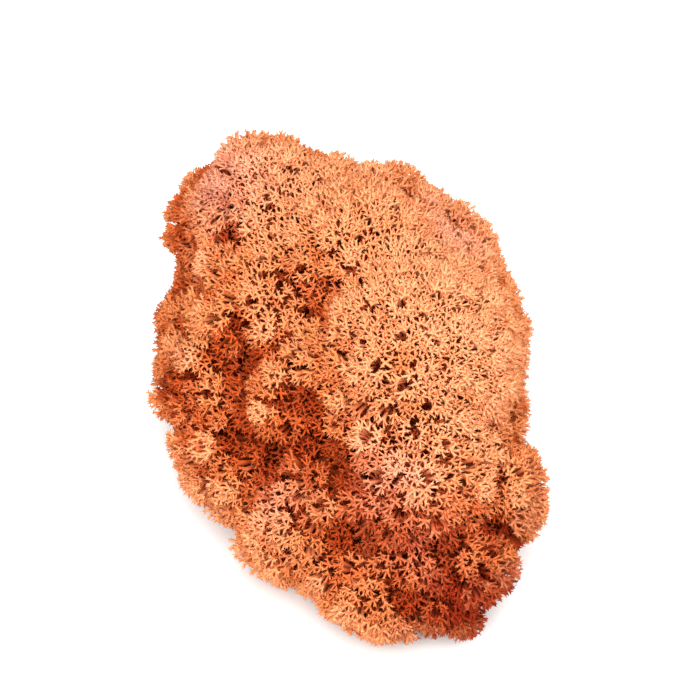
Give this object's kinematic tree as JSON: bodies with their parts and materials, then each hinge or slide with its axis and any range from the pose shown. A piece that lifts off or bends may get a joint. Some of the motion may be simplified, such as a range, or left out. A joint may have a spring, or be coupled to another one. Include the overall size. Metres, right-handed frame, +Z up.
{
  "type": "reindeer moss clump",
  "caption": "Lobed cushion of dyed reindeer moss: rounded heads of forked, star-tipped lichen stems fanning out from a small flat foot.",
  "frame": {"origin": "on the ground, in the flat foot where the stems meet", "axes": "+Z up out of the foot, +Y along the clump's longest way to its far end, +X to the right seen from the near end"},
  "size_m": [0.0661, 0.0905, 0.0519],
  "materials": {
    "dyed_lichen": "dyed terracotta orange, matt, soft and springy, paler at the tips"
  },
  "bodies": {
    "root": {"head_crown": "dyed_lichen", "head_crown_far": "dyed_lichen", "head_upper_right": "dyed_lichen", "head_upper_far": "dyed_lichen", "head_upper_far_left": "dyed_lichen", "head_upper_left": "dyed_lichen", "head_upper_near_left": "dyed_lichen", "head_upper_near": "dyed_lichen", "head_near_shoulder": "dyed_lichen", "head_far_left": "dyed_lichen", "head_far": "dyed_lichen", "head_far_right": "dyed_lichen", "head_right_ridge": "dyed_lichen", "head_right_shoulder": "dyed_lichen", "head_right": "dyed_lichen", "head_near_right": "dyed_lichen", "head_near_tip": "dyed_lichen", "head_near": "dyed_lichen", "head_near_left": "dyed_lichen", "head_low_left": "dyed_lichen", "head_left": "dyed_lichen", "head_left_shoulder": "dyed_lichen"}
  },
  "joints": []
}
